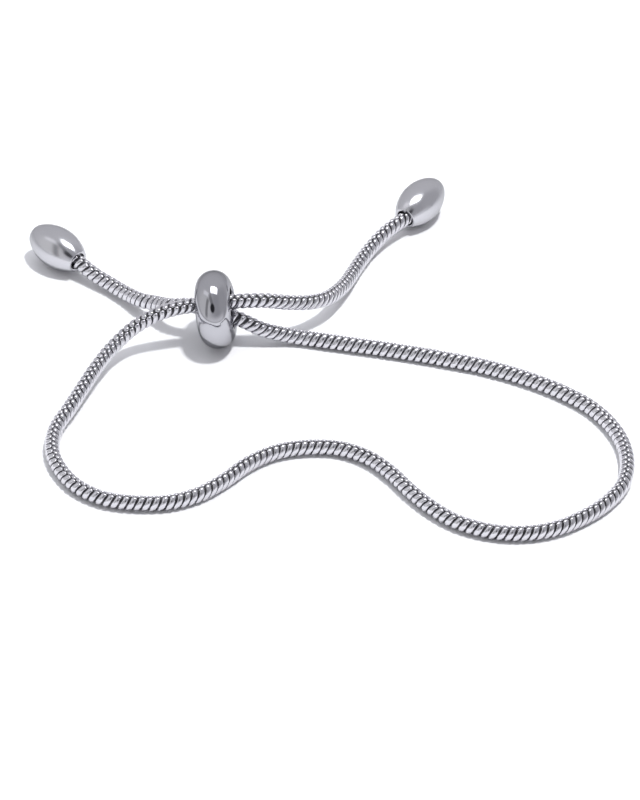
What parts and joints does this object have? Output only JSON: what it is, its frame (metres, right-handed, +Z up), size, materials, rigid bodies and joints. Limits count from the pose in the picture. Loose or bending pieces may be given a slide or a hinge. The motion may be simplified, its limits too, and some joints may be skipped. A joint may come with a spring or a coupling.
{
  "type": "chain bracelet with a sliding bead",
  "caption": "Fine metal chain bracelet with a round sliding bead that sets its size and a small oval bead on each chain end, lying on a surface.",
  "frame": {"origin": "on the surface that the bracelet lies on, under the middle of its bounding box", "axes": "+Z up, +X to the right along the bracelet's longest extent, +Y away from the viewer, towards the two end beads"},
  "size_m": [0.0761, 0.0708, 0.0099],
  "materials": {
    "chain": "polished",
    "bead": "polished"
  },
  "bodies": {
    "root": {"chain": "chain", "slider_bead": "bead", "end_bead_left": "bead", "end_bead_right": "bead"}
  },
  "joints": []
}
